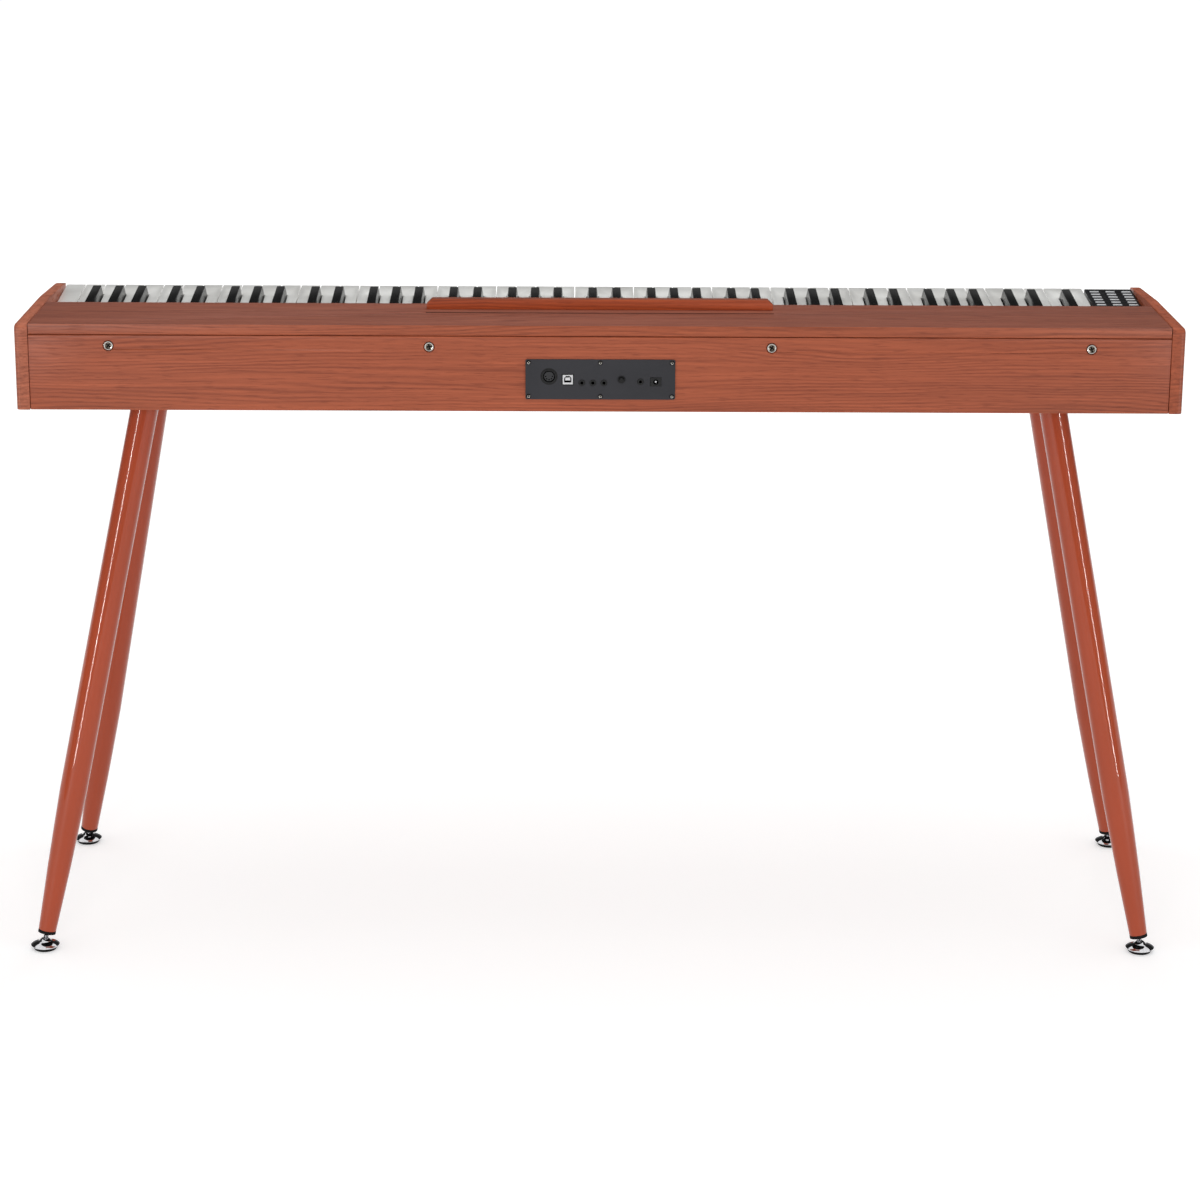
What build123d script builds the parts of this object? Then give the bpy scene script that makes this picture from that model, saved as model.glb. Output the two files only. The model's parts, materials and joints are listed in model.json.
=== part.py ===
from build123d import *
import math
import os

os.makedirs("parts", exist_ok=True)

# All sizes are in millimetres. +X is the player's right, +Y points away from the player, +Z is up.
# The origin is on the floor under the middle of the cabinet.
# Heights inside the cabinet are measured from its underside.

# Cabinet
floor_to_body = 656.0
side_thickness = 15.0
board_thickness = 12.0
back_height = 99.2
lid_slope = 4.7
lid_depth = 160.0
lid_end_gap = 1.0
lid_seam_gap = 0.6
lid_seam_bevel = 0.8
back_board_end_gap = 0.7
lid_front_radius = 1.5
side_proud = 0.7
side_overhang = 1.0
side_bend_from_back = 204.0
side_front_height = 67.9
side_corner_radius = 8.0
side_edge_radius = 5.0
front_rail_height = 50.0
front_rail_thickness = 7.0

# Music ledge and its stand slot
ledge_width = 398.0
ledge_height = 12.3
ledge_thickness = 9.0
ledge_corner_cut = 6.3
ledge_from_back = 116.0
slot_width = 3.5
slot_depth = 6.0
slot_from_back = 92.0

# Keyboard
key_count = 88
white_count = 52
white_pitch = 23.5
key_gap = 1.0
keyboard_end_gap = 2.2
room_behind_keys = 83.6
white_top_height = 68.3
key_body_height = 20.0
key_front_gap = 1.4
key_tail_length = 14.0
pivot_to_front = 214.0
pivot_drop = 14.0
key_dip = 9.7
sharp_height = 12.0
sharp_base_width = 13.0
sharp_top_width = 9.8
sharp_setback = 50.0
sharp_nose_slope = 5.0
sharp_lid_gap = 1.5
sharp_side_gap = 1.0
pair_shift = 2.35
triple_shift = 3.36

# Keybed
chassis_thickness = 3.0
rod_diameter = 5.0
rod_clearance = 0.05
pivot_wall_thickness = 2.4
stop_width = 10.0
felt_thickness = 3.7
stop_gap = 0.3
comb_thickness = 0.8
comb_base_width = 16.0
comb_finger_width = 5.0
comb_finger_reach = 28.0
comb_from_pivot = 10.0
circuit_thickness = 1.6
contact_board_width = 40.0
contact_board_height = 36.0
contact_board_from_pivot = 84.0
contact_strip_width = 14.0

# Control pod
pod_width = 57.0
pod_end_gap = 1.3
pod_key_gap = 1.5
pod_height = 70.0
pod_front_setback = 10.0
pod_length = 200.0
pod_top_thickness = 2.5
pod_wall = 2.0
button_columns = 3
button_rows = 9
button_column_pitch = 19.0
button_row_pitch = 13.2
button_width = 11.0
button_length = 5.6
button_clearance = 0.3
button_rise = 1.8
button_flange = 0.8
button_flange_thickness = 1.5
button_stem_width = 3.0
button_stem_length = 3.2
button_travel = 1.0
button_first_row = 20.5
switch_height = 2.4
switch_width = 5.0

# Terminal panel in the back board
terminal_width = 168.4
terminal_height = 46.2
terminal_thickness = 1.6
terminal_centre_height = 37.8
terminal_corner_radius = 2.0
terminal_screw_inset = 3.6
terminal_screw_diameter = 2.6
terminal_screw_head = 5.0
terminal_screw_length = 9.0
window_height = 28.0
window_margin = 4.0
jack_board_height = 38.0
jack_board_setback = 4.0
socket_clearance = 0.15
socket_rise = 0.6
midi_x = 57.7
midi_height = 41.2
midi_shell_diameter = 16.0
midi_well_diameter = 13.6
midi_core_diameter = 11.0
midi_pin_circle = 7.5
midi_pin_diameter = 1.5
midi_depth = 8.0
usb_x = 36.6
usb_height = 37.7
usb_width = 11.4
usb_shell_height = 10.9
usb_clearance = 0.7
usb_well_width = 8.2
usb_well_height = 7.6
usb_well_rise = 0.5
usb_well_cut = 2.2
usb_tongue_width = 5.6
usb_tongue_height = 3.4
usb_depth = 9.0
jack_pitch = 12.4
jack_middle_x = 8.4
jack_height = 33.9
pedal_jack_x = -45.1
pedal_jack_height = 35.4
jack_nose_diameter = 7.0
jack_bore_diameter = 3.6
jack_body_width = 9.0
jack_bore_depth = 14.0
dc_x = -62.4
dc_height = 35.4
dc_width = 11.8
dc_shell_height = 9.2
dc_well_diameter = 6.2
dc_pin_diameter = 2.0
dc_depth = 9.0
power_x = -23.7
power_height = 37.9
power_collar_diameter = 8.4
power_button_diameter = 5.6
power_clearance = 0.08
power_travel = 2.0
power_rise = 3.0
power_body_width = 12.0

# Bolts and glued blocks that join the back board to the lid
bolt_inner_x = 192.3
bolt_from_board_end = 90.2
bolt_height = 74.3
bolt_shank_diameter = 5.0
bolt_clearance = 0.1
bolt_head_diameter = 10.6
bolt_head_thickness = 2.6
bolt_length = 30.0
counterbore_diameter = 12.8
counterbore_depth = 3.2
recess_width = 1.4
recess_length = 5.6
recess_depth = 1.6
block_width = 30.0
block_depth = 26.0
block_height_below_bolt = 10.0

# Inner electronics and speakers
main_board_length = 140.0
main_board_width = 60.0
main_board_x = 170.0
main_board_rise = 6.0
main_board_wall_gap = 6.0
standoff_width = 6.0
standoff_inset = 6.0
chip_side = 16.0
chip_height = 2.5
capacitor_diameter = 10.0
capacitor_height = 14.0
speaker_x = 380.0
speaker_frame_diameter = 68.0
speaker_hole_diameter = 58.0
speaker_frame_thickness = 2.5
speaker_cone_depth = 14.0
speaker_cone_thickness = 2.5
speaker_magnet_diameter = 32.0
speaker_magnet_height = 12.0
speaker_wall_gap = 3.0
grille_diameter = 66.0
grille_thickness = 1.5
grille_slot_width = 3.0
grille_slot_pitch = 7.0

# Legs and levelling feet
leg_from_side = 138.0
leg_from_back = 87.0
leg_splay_x = 127.0
leg_splay_y = 90.8
leg_skew = 4.5
swivel_height = 8.5
leg_diameter = 31.8
leg_tip_diameter = 20.8
leg_wall = 1.5
leg_knee_depth = 479.5
leg_shin_depth = 575.0
leg_shin_diameter = 27.0
leg_length = 652.5
leg_plate_side = 90.0
leg_plate_thickness = 3.0
leg_plate_corner = 8.0
leg_boss_diameter = 36.0
leg_boss_length = 15.0
leg_stud_diameter = 8.0
leg_stud_length = 10.0
leg_stud_clearance = 0.1
leg_head_thickness = 6.0
plate_screw_spacing = 70.0
plate_screw_diameter = 4.0
plate_screw_head = 8.0
plate_screw_head_thickness = 2.2
plate_screw_length = 13.0
plug_thickness = 3.6
plug_spigot_length = 12.0
plug_clearance = 0.1
stem_diameter = 6.0
stem_clearance = 0.05
stem_length = 46.0
pad_height = 4.4
pad_top_diameter = 32.0
pad_floor_diameter = 26.0
cap_diameter = 33.8
cap_rim = 1.0
cap_height = 4.0
hump_diameter = 15.0
hump_top_diameter = 8.4
hump_height = 3.2

# Places worked out from the sizes above
keyboard_length = white_count * white_pitch
inner_width = pod_end_gap + pod_width + pod_key_gap + keyboard_length + keyboard_end_gap
inner_half = inner_width / 2
body_width = inner_width + 2 * side_thickness
key_space = key_front_gap + pivot_to_front + key_tail_length
body_depth = front_rail_thickness + key_space + room_behind_keys + board_thickness
back_y = body_depth / 2
front_y = -back_y
fall = math.tan(math.radians(lid_slope))
board_upright = board_thickness / math.cos(math.radians(lid_slope))
lid_front_y = back_y - lid_depth
key_front_y = front_y + front_rail_thickness + key_front_gap
pivot_y = key_front_y + pivot_to_front
pivot_height = white_top_height - pivot_drop
key_end_y = pivot_y + key_tail_length
key_bottom_height = white_top_height - key_body_height
key_turn = key_dip / pivot_to_front
pod_left = pod_end_gap - inner_half
pod_right = pod_left + pod_width
keyboard_left = pod_right + pod_key_gap
keyboard_right = keyboard_left + keyboard_length
bolt_outer_x = inner_half - bolt_from_board_end
leg_top_x = body_width / 2 - leg_from_side
leg_top_y = back_y - leg_from_back

note_names = ("c", "c_sharp", "d", "d_sharp", "e", "f", "f_sharp", "g", "g_sharp", "a", "a_sharp", "b")
sharp_shift = {
    "c_sharp": -pair_shift,
    "d_sharp": pair_shift,
    "f_sharp": -triple_shift,
    "g_sharp": 0.0,
    "a_sharp": triple_shift,
}


def lid_top(y):
    # Height of the lid's upper face above the cabinet's underside at a place front to back
    return back_height - (back_y - y) * fall


def lid_under(y):
    return lid_top(y) - board_upright


def key_sink(y):
    # How far a key's underside comes down at a place front to back when the key is pressed
    return (pivot_y - y) * key_turn


def block(x_span, y_span, h_span):
    x_size = x_span[1] - x_span[0]
    y_size = y_span[1] - y_span[0]
    h_size = h_span[1] - h_span[0]
    x_mid = (x_span[0] + x_span[1]) / 2
    y_mid = (y_span[0] + y_span[1]) / 2
    z_mid = floor_to_body + (h_span[0] + h_span[1]) / 2
    return Pos(x_mid, y_mid, z_mid) * Box(x_size, y_size, h_size)


def long_section(corners, x_low, x_high):
    # A constant cross-section, given as (y, height) corners, run from one x to another
    points = [(x_low, y, floor_to_body + h) for y, h in corners]
    outline = make_face(Polyline(*points, close=True))
    return extrude(outline, amount=x_high - x_low, dir=(1, 0, 0))


def rod_along_y(diameter, x, height, y_span):
    length = y_span[1] - y_span[0]
    place = Pos(x, (y_span[0] + y_span[1]) / 2, floor_to_body + height)
    return place * Rot(90, 0, 0) * Cylinder(diameter / 2, length)


def post(diameter, x, y, h_span):
    length = h_span[1] - h_span[0]
    place = Pos(x, y, floor_to_body + (h_span[0] + h_span[1]) / 2)
    return place * Cylinder(diameter / 2, length)


def save(name, *pieces):
    solids = [solid for piece in pieces for solid in piece.solids()]
    shape = solids[0] if len(solids) == 1 else Compound(solids)
    export_step(shape, f"parts/{name}.step")
    return shape


# Cabinet boards

def make_side_panel(x_low):
    bend_y = back_y - side_bend_from_back
    back_face = back_y + side_overhang
    corners = [
        (front_y, 0),
        (back_face, 0),
        (back_face, lid_top(back_face) + side_proud),
        (bend_y, lid_top(bend_y) + side_proud),
        (front_y, side_front_height),
    ]
    panel = long_section(corners, x_low, x_low + side_thickness)
    back_top = panel.edges().filter_by(Axis.X).group_by(Axis.Z)[-1]
    panel = fillet(back_top, side_corner_radius)
    outer_face = panel.faces().sort_by(Axis.X)[0 if x_low < 0 else -1]
    top_level = floor_to_body + side_front_height - side_edge_radius
    crest = [edge for edge in outer_face.edges() if edge.center().Z > top_level]
    return fillet(crest, side_edge_radius)


def make_lid():
    half = inner_half - lid_end_gap
    corners = [
        (back_y, lid_under(back_y)),
        (back_y, lid_top(back_y)),
        (lid_front_y, lid_top(lid_front_y)),
        (lid_front_y, lid_under(lid_front_y)),
    ]
    lid = long_section(corners, -half, half)
    long_edges = lid.edges().filter_by(Axis.X)
    lid = chamfer(long_edges.group_by(Axis.Y)[-1].sort_by(Axis.Z)[0], lid_seam_bevel)
    front_edges = lid.edges().filter_by(Axis.X).group_by(Axis.Y)[0]
    lid = fillet(front_edges.sort_by(Axis.Z)[-1], lid_front_radius)
    slot_y = back_y - slot_from_back
    floor = lid_top(slot_y) - slot_depth
    y_span = (slot_y - slot_width / 2, slot_y + slot_width / 2)
    slot = block((-ledge_width / 2, ledge_width / 2), y_span, (floor, back_height))
    return lid - slot


def window_spans():
    # Two windows in the back board: one for the plug sockets, one for power and pedal
    left = (dc_x - dc_width / 2 - window_margin, power_x + power_body_width / 2 + window_margin / 2)
    jack_low = jack_middle_x - jack_pitch - jack_body_width / 2
    right = (jack_low - window_margin / 2, midi_x + midi_shell_diameter / 2 + window_margin)
    return left, right


def bolt_places():
    return (-bolt_outer_x, -bolt_inner_x, bolt_inner_x, bolt_outer_x)


def terminal_screw_places():
    x_reach = terminal_width / 2 - terminal_screw_inset
    h_reach = terminal_height / 2 - terminal_screw_inset
    for x in (-x_reach, 0.0, x_reach):
        for h in (-h_reach, h_reach):
            yield x, terminal_centre_height + h


def make_back_board():
    inner_y = back_y - board_thickness
    corners = [
        (inner_y, 0),
        (back_y, 0),
        (back_y, lid_under(back_y) - lid_seam_gap),
        (inner_y, lid_under(inner_y) - lid_seam_gap),
    ]
    half = inner_half - back_board_end_gap
    board = long_section(corners, -half, half)
    rear_edges = board.edges().filter_by(Axis.X).group_by(Axis.Y)[-1]
    board = chamfer(rear_edges.sort_by(Axis.Z)[-1], lid_seam_bevel)
    h_low = terminal_centre_height - window_height / 2
    for span in window_spans():
        board -= block(span, (inner_y, back_y), (h_low, h_low + window_height))
    for x in bolt_places():
        shank_hole = bolt_shank_diameter + 2 * bolt_clearance
        board -= rod_along_y(shank_hole, x, bolt_height, (inner_y, back_y))
        board -= rod_along_y(counterbore_diameter, x, bolt_height, (back_y - counterbore_depth, back_y))
    for x, h in terminal_screw_places():
        depth = terminal_screw_length
        board -= rod_along_y(terminal_screw_diameter, x, h, (back_y - depth, back_y))
    return board


def speaker_y():
    return back_y - board_thickness - speaker_wall_gap - speaker_frame_diameter / 2


def make_bottom_board():
    y_span = (front_y + front_rail_thickness, back_y - board_thickness)
    board = block((-inner_half, inner_half), y_span, (0, board_thickness))
    for side in (-1, 1):
        board -= post(speaker_hole_diameter, side * speaker_x, speaker_y(), (0, board_thickness))
    for x, y in plate_screw_places():
        depth = plate_screw_length - leg_plate_thickness
        board -= post(plate_screw_diameter, x, y, (0, depth))
    return board


def make_front_rail():
    y_span = (front_y, front_y + front_rail_thickness)
    rail = block((-inner_half, inner_half), y_span, (0, front_rail_height))
    top_edges = rail.edges().filter_by(Axis.X).group_by(Axis.Z)[-1]
    return fillet(top_edges, lid_front_radius)


def make_music_ledge():
    ledge_back = back_y - ledge_from_back
    foot_back = lid_top(ledge_back)
    ledge_front = ledge_back - ledge_thickness
    foot_front = lid_top(ledge_front)
    corners = [
        (ledge_front, foot_front),
        (ledge_back, foot_back),
        (ledge_back, foot_back + ledge_height),
        (ledge_front, foot_back + ledge_height),
    ]
    ledge = long_section(corners, -ledge_width / 2, ledge_width / 2)
    top_ends = ledge.edges().filter_by(Axis.Y).group_by(Axis.Z)[-1]
    return chamfer(top_ends, ledge_corner_cut)


# Bolts with cross recesses, and the glued blocks that take them

def cross_recess(x, height, face_y, depth):
    y_span = (face_y - depth, face_y)
    half_long = recess_length / 2
    half_thin = recess_width / 2
    flat = block((x - half_long, x + half_long), y_span, (height - half_thin, height + half_thin))
    upright = block((x - half_thin, x + half_thin), y_span, (height - half_long, height + half_long))
    return flat + upright


def make_back_bolts():
    seat = back_y - counterbore_depth
    crown = seat + bolt_head_thickness
    bolts = []
    for x in bolt_places():
        head = rod_along_y(bolt_head_diameter, x, bolt_height, (seat, crown))
        rim = head.edges().filter_by(GeomType.CIRCLE).sort_by(Axis.Y)[-1]
        head = chamfer(rim, bolt_head_thickness / 3)
        shank = rod_along_y(bolt_shank_diameter, x, bolt_height, (crown - bolt_length, seat))
        bolts.append(head + shank - cross_recess(x, bolt_height, crown, recess_depth))
    return bolts


def make_corner_blocks():
    inner_y = back_y - board_thickness
    front = inner_y - block_depth
    low = bolt_height - block_height_below_bolt
    corners = [(front, low), (inner_y, low), (inner_y, lid_under(inner_y)), (front, lid_under(front))]
    blocks = []
    hole = bolt_shank_diameter + 2 * bolt_clearance
    for x in bolt_places():
        body = long_section(corners, x - block_width / 2, x + block_width / 2)
        blocks.append(body - rod_along_y(hole, x, bolt_height, (front, inner_y)))
    return blocks


# Keys

def keyboard_layout():
    # Lists every key from the lowest A to the top C as (note, octave, left edge or centre)
    keys = []
    lowest = note_names.index("a")
    edge = keyboard_left
    for step in range(lowest, lowest + key_count):
        octave, note = divmod(step, len(note_names))
        name = note_names[note]
        if name in sharp_shift:
            keys.append((name, octave, edge + sharp_shift[name]))
        else:
            keys.append((name, octave, edge))
            edge += white_pitch
    return keys


def pivot_slot(x_span):
    half = rod_diameter / 2 + rod_clearance
    return block(x_span, (pivot_y - half, pivot_y + half), (key_bottom_height, pivot_height + half))


def tail_span(index, keys):
    # Left and right sides of a key behind its front: sharps take a notch out of the whites beside them
    name, octave, place = keys[index]
    if name in sharp_shift:
        return place - sharp_base_width / 2, place + sharp_base_width / 2
    notch = sharp_base_width / 2 + sharp_side_gap
    left = place + key_gap / 2
    right = place + white_pitch - key_gap / 2
    if index > 0 and keys[index - 1][0] in sharp_shift:
        left = keys[index - 1][2] + notch
    if index < len(keys) - 1 and keys[index + 1][0] in sharp_shift:
        right = keys[index + 1][2] - notch
    return left, right


def make_white_key(index, keys):
    place = keys[index][2]
    left, right = tail_span(index, keys)
    head_left = place + key_gap / 2
    head_right = place + white_pitch - key_gap / 2
    shoulder = key_front_y + sharp_setback - sharp_side_gap
    head = block((head_left, head_right), (key_front_y, shoulder), (key_bottom_height, white_top_height))
    tail = block((left, right), (shoulder, key_end_y), (key_bottom_height, white_top_height))
    return head + tail - pivot_slot((left, right))


def make_black_key(index, keys):
    centre = keys[index][2]
    span = tail_span(index, keys)
    nose_y = key_front_y + sharp_setback
    cap_end = lid_front_y - sharp_lid_gap
    stick = block(span, (nose_y, key_end_y), (key_bottom_height, white_top_height))
    lean = (sharp_base_width - sharp_top_width) / 2
    length = cap_end - nose_y
    cap = Wedge(
        sharp_base_width, sharp_height, length,
        lean, 0, sharp_base_width - lean, length - sharp_nose_slope,
    )
    turned = Pos(centre, (nose_y + cap_end) / 2, floor_to_body + white_top_height + sharp_height / 2)
    return stick + turned * Rot(90, 0, 0) * cap - pivot_slot(span)


def save_keys(keys):
    groups = {}
    for index, (name, octave, place) in enumerate(keys):
        maker = make_black_key if name in sharp_shift else make_white_key
        middle = name == "c" and octave == 4
        node = "key_middle_c" if middle else f"keys_{name}"
        groups.setdefault(node, []).append(maker(index, keys))
    for node, solids in groups.items():
        save(node, *solids)


# Keybed: chassis, pivot rod, springs, stops and contacts

def stop_places():
    # Front edges of the three felt stops: under the white heads, the black noses and the tails
    white_stop = key_front_y + key_front_gap
    black_stop = key_front_y + sharp_setback + key_front_gap
    tail_stop = key_end_y - stop_width
    return white_stop, black_stop, tail_stop


def stop_heights():
    white_stop, black_stop, tail_stop = stop_places()
    return (
        key_bottom_height - key_sink(white_stop) - stop_gap,
        key_bottom_height - key_sink(black_stop) - stop_gap,
        key_bottom_height - stop_gap,
    )


def make_key_felts():
    felts = []
    for y, top in zip(stop_places(), stop_heights()):
        span = (keyboard_left, keyboard_right - key_gap)
        felts.append(block(span, (y, y + stop_width), (top - felt_thickness, top)))
    return felts


def comb_base_y():
    tip = pivot_y - comb_from_pivot
    return tip - comb_finger_reach - comb_base_width


def comb_seat_height():
    return key_bottom_height - comb_from_pivot


def make_chassis():
    x_span = (keyboard_left, keyboard_right - key_gap)
    floor = board_thickness
    deck = floor + chassis_thickness
    tail_stop = stop_places()[-1]
    base = block(x_span, (key_front_y, tail_stop + stop_width), (floor, deck))
    for y, top in zip(stop_places(), stop_heights()):
        base += block(x_span, (y, y + stop_width), (deck, top - felt_thickness))
    half_wall = pivot_wall_thickness / 2
    rod_seat = pivot_height - rod_diameter / 2
    base += block(x_span, (pivot_y - half_wall, pivot_y + half_wall), (deck, rod_seat))
    base_y = comb_base_y()
    base += block(x_span, (base_y, base_y + comb_base_width), (deck, comb_seat_height()))
    board_y = pivot_y - contact_board_from_pivot - contact_board_width
    for y in (board_y, board_y + contact_board_width - chassis_thickness):
        base += block(x_span, (y, y + chassis_thickness), (deck, contact_board_height))
    return base


def make_pivot_rod():
    length = keyboard_right - key_gap - keyboard_left
    place = Pos(keyboard_left + length / 2, pivot_y, floor_to_body + pivot_height)
    return place * Rot(0, 90, 0) * Cylinder(rod_diameter / 2, length)


def make_spring_comb(keys):
    base_y = comb_base_y()
    seat = comb_seat_height()
    root_y = base_y + comb_base_width
    tip_y = root_y + comb_finger_reach
    tip_top = key_bottom_height - key_sink(tip_y) - stop_gap
    strip = block(
        (keyboard_left, keyboard_right - key_gap),
        (base_y, root_y),
        (seat, seat + comb_thickness),
    )
    finger = [
        (root_y - comb_thickness, seat),
        (root_y, seat),
        (tip_y, tip_top - comb_thickness),
        (tip_y, tip_top),
        (root_y - comb_thickness, seat + comb_thickness),
    ]
    fingers = []
    for index in range(len(keys)):
        left, right = tail_span(index, keys)
        middle = (left + right) / 2
        half = comb_finger_width / 2
        fingers.append(long_section(finger, middle - half, middle + half))
    return strip + fingers


def make_contact_board():
    board_y = pivot_y - contact_board_from_pivot - contact_board_width
    return block(
        (keyboard_left, keyboard_right - key_gap),
        (board_y, board_y + contact_board_width),
        (contact_board_height, contact_board_height + circuit_thickness),
    )


def make_contact_rubber():
    board_y = pivot_y - contact_board_from_pivot - contact_board_width
    middle = board_y + contact_board_width / 2
    low = contact_board_height + circuit_thickness
    front = middle - contact_strip_width / 2
    high = key_bottom_height - key_sink(front) - stop_gap
    crown = contact_strip_width / 4
    corners = [
        (front, low),
        (middle + contact_strip_width / 2, low),
        (middle + crown, high),
        (middle - crown, high),
    ]
    return long_section(corners, keyboard_left, keyboard_right - key_gap)


# Control pod

def pod_front():
    return key_front_y + pod_front_setback


def button_places(column):
    middle_x = (pod_left + pod_right) / 2
    x = middle_x + (column - (button_columns - 1) / 2) * button_column_pitch
    for row in range(button_rows):
        yield x, pod_front() + button_first_row + row * button_row_pitch


def board_below_buttons():
    # Height of the button board's upper face, one travel and the switches below the button stems
    flange_top = pod_height - pod_top_thickness - button_clearance
    stem_end = flange_top - button_flange_thickness - button_stem_length
    return stem_end - button_travel - stop_gap - switch_height


def make_control_pod():
    y_span = (pod_front(), pod_front() + pod_length)
    shell = block((pod_left, pod_right), y_span, (board_thickness, pod_height))
    rim = shell.edges().filter_by(Axis.Y).group_by(Axis.Z)[-1]
    rim += shell.edges().filter_by(Axis.X).group_by(Axis.Z)[-1].sort_by(Axis.Y)[:1]
    shell = chamfer(rim, pod_wall / 2)
    inner_x = (pod_left + pod_wall, pod_right - pod_wall)
    inner_y = (y_span[0] + pod_wall, y_span[1] - pod_wall)
    shell -= block(inner_x, inner_y, (board_thickness, pod_height - pod_top_thickness))
    ledge_top = board_below_buttons() - circuit_thickness
    for x_low in (inner_x[0], inner_x[1] - pod_wall):
        shell += block((x_low, x_low + pod_wall), inner_y, (ledge_top - pod_wall, ledge_top))
    hole_x = button_width / 2 + button_clearance
    hole_y = button_length / 2 + button_clearance
    for column in range(button_columns):
        for x, y in button_places(column):
            h_span = (pod_height - pod_top_thickness, pod_height)
            shell -= block((x - hole_x, x + hole_x), (y - hole_y, y + hole_y), h_span)
    return shell


def make_button(x, y):
    half_x = button_width / 2
    half_y = button_length / 2
    flange_top = pod_height - pod_top_thickness - button_clearance
    flange_low = flange_top - button_flange_thickness
    cap = block((x - half_x, x + half_x), (y - half_y, y + half_y), (flange_top, pod_height + button_rise))
    rim = cap.edges().group_by(Axis.Z)[-1]
    cap = chamfer(rim, button_flange / 2)
    wide_x = half_x + button_flange
    wide_y = half_y + button_flange
    flange = block((x - wide_x, x + wide_x), (y - wide_y, y + wide_y), (flange_low, flange_top))
    half_stem = button_stem_width / 2
    stem_span = (flange_low - button_stem_length, flange_low)
    stem = block((x - half_stem, x + half_stem), (y - half_stem, y + half_stem), stem_span)
    return cap + flange + stem


def make_button_board():
    top = board_below_buttons()
    inner_x = (pod_left + pod_wall + stop_gap, pod_right - pod_wall - stop_gap)
    inner_y = (pod_front() + pod_wall + stop_gap, pod_front() + pod_length - pod_wall - stop_gap)
    board = block(inner_x, inner_y, (top - circuit_thickness, top))
    half = switch_width / 2
    switches = []
    for column in range(button_columns):
        for x, y in button_places(column):
            switches.append(block((x - half, x + half), (y - half, y + half), (top, top + switch_height)))
    return board + switches


# Terminal panel: plate, screws, sockets and power switch

def socket_body_depth():
    # Sockets reach from the plate's inner face to the board they are soldered to
    return board_thickness + jack_board_setback


def rod_with_nose(diameter, x, height):
    return rod_along_y(diameter, x, height, (back_y, back_y + terminal_thickness + socket_rise))


def box_with_nose(width, tall, x, height):
    y_span = (back_y, back_y + terminal_thickness + socket_rise)
    return block((x - width / 2, x + width / 2), y_span, (height - tall / 2, height + tall / 2))


def body_box(width, tall, x, height):
    y_span = (back_y - socket_body_depth(), back_y)
    return block((x - width / 2, x + width / 2), y_span, (height - tall / 2, height + tall / 2))


def jack_places():
    for step in (-1, 0, 1):
        yield jack_middle_x + step * jack_pitch, jack_height
    yield pedal_jack_x, pedal_jack_height


def make_terminal_plate():
    low = terminal_centre_height - terminal_height / 2
    half = terminal_width / 2
    y_span = (back_y, back_y + terminal_thickness)
    plate = block((-half, half), y_span, (low, low + terminal_height))
    plate = fillet(plate.edges().filter_by(Axis.Y), terminal_corner_radius)
    gap = 2 * socket_clearance
    plate -= rod_along_y(midi_shell_diameter + gap, midi_x, midi_height, y_span)
    plate -= rod_along_y(power_collar_diameter + gap, power_x, power_height, y_span)
    for x, h in jack_places():
        plate -= rod_along_y(jack_nose_diameter + gap, x, h, y_span)
    usb_hole = usb_width / 2 + usb_clearance
    usb_rise = usb_shell_height / 2 + usb_clearance
    usb_span = (usb_height - usb_rise, usb_height + usb_rise)
    plate -= block((usb_x - usb_hole, usb_x + usb_hole), y_span, usb_span)
    dc_hole = (dc_width + gap) / 2
    dc_rise = (dc_shell_height + gap) / 2
    plate -= block((dc_x - dc_hole, dc_x + dc_hole), y_span, (dc_height - dc_rise, dc_height + dc_rise))
    for x, h in terminal_screw_places():
        plate -= rod_along_y(terminal_screw_diameter + gap, x, h, y_span)
    return plate


def make_terminal_screws():
    face = back_y + terminal_thickness
    screws = []
    for x, h in terminal_screw_places():
        head = rod_along_y(terminal_screw_head, x, h, (face, face + terminal_thickness))
        shank_diameter = terminal_screw_diameter - socket_clearance
        shank = rod_along_y(shank_diameter, x, h, (face - terminal_screw_length, face))
        screws.append(head + shank)
    return screws


def make_midi_socket():
    face = back_y + terminal_thickness + socket_rise
    side = midi_shell_diameter + window_margin / 2
    body = body_box(side, side, midi_x, midi_height)
    body += rod_with_nose(midi_shell_diameter, midi_x, midi_height)
    body -= rod_along_y(midi_well_diameter, midi_x, midi_height, (face - midi_depth, face))
    core = rod_along_y(midi_core_diameter, midi_x, midi_height, (face - midi_depth, face - socket_rise))
    pin_radius = midi_pin_circle / 2
    for step in range(5):
        angle = math.radians(180 + 45 * step)
        x = midi_x + pin_radius * math.cos(angle)
        h = midi_height + pin_radius * math.sin(angle)
        core -= rod_along_y(midi_pin_diameter, x, h, (face - midi_depth, face))
    return body + core


def make_usb_socket():
    face = back_y + terminal_thickness + socket_rise
    shell = body_box(usb_width, usb_shell_height, usb_x, usb_height)
    shell += box_with_nose(usb_width, usb_shell_height, usb_x, usb_height)
    half = usb_well_width / 2
    rise = usb_well_height / 2
    middle = usb_height + usb_well_rise
    well = block((usb_x - half, usb_x + half), (face - usb_depth, face), (middle - rise, middle + rise))
    well = chamfer(well.edges().filter_by(Axis.Y).group_by(Axis.Z)[-1], usb_well_cut)
    tongue_half = usb_tongue_width / 2
    tongue_rise = usb_tongue_height / 2
    tongue = block(
        (usb_x - tongue_half, usb_x + tongue_half),
        (face - usb_depth, face - 2 * socket_rise),
        (middle - tongue_rise, middle + tongue_rise),
    )
    return shell - well + tongue


def make_audio_jacks():
    face = back_y + terminal_thickness + socket_rise
    jacks = []
    for x, h in jack_places():
        jack = body_box(jack_body_width, jack_body_width, x, h)
        jack += rod_with_nose(jack_nose_diameter, x, h)
        jacks.append(jack - rod_along_y(jack_bore_diameter, x, h, (face - jack_bore_depth, face)))
    return jacks


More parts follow.
